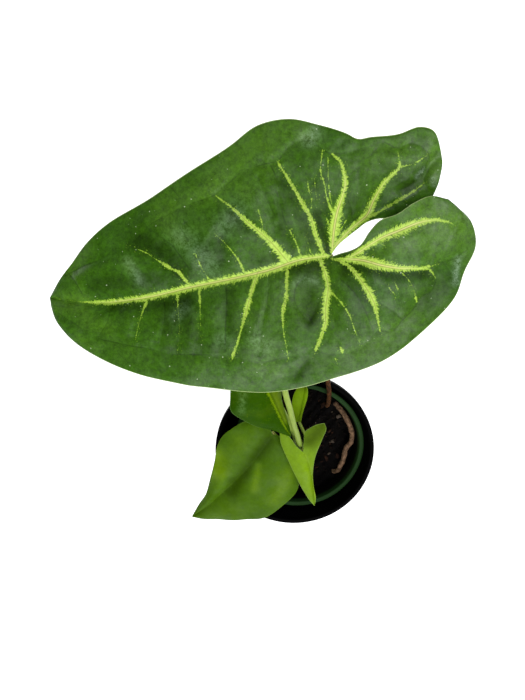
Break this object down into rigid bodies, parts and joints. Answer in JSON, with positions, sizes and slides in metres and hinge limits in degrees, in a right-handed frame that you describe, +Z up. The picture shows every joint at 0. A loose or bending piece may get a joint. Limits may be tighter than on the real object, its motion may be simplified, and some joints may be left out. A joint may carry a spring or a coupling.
{
  "type": "potted panda syngonium",
  "caption": "Potted arrowhead vine with one broad variegated leaf on a bowed stalk, smaller leaves below it, and a plain plastic pot with a liner.",
  "frame": {"origin": "centre of the outer pot's flat base, on the surface that the pot stands on", "axes": "+Z up; +X to the right and +Y away from the viewer in the picture, the side that the big leaf leans to"},
  "size_m": [0.1745, 0.2257, 0.1929],
  "materials": {
    "outer_pot_plastic": "injection-moulded black plastic, satin",
    "nursery_pot_plastic": "thin moulded dark green plastic, dusty",
    "soil": "coarse damp potting mix",
    "stem_skin": "fleshy green stem with papery sheath edges",
    "big_leaf_blade": "waxy dark green blade with feathered yellow-green veins",
    "middle_leaf_blade": "waxy green blade with a pale margin",
    "young_leaf_blade": "soft yellow-green young blade",
    "stalk_skin": "smooth fleshy yellow-green stalk",
    "root_skin": "dry tan skin",
    "dry_stalk_skin": "dried fibrous orange-brown skin"
  },
  "bodies": {
    "root": {"outer_pot": "outer_pot_plastic", "nursery_pot": "nursery_pot_plastic", "soil": "soil", "stem": "stem_skin", "big_leaf": "big_leaf_blade", "lower_leaf": "young_leaf_blade", "middle_leaf": "middle_leaf_blade", "arrow_leaf": "young_leaf_blade", "small_leaf": "young_leaf_blade", "big_leaf_stalk": "stalk_skin", "lower_leaf_stalk": "stalk_skin", "middle_leaf_stalk": "stalk_skin", "arrow_leaf_stalk": "stalk_skin", "small_leaf_stalk": "stalk_skin", "root": "root_skin", "dry_stalk": "dry_stalk_skin"}
  },
  "joints": []
}
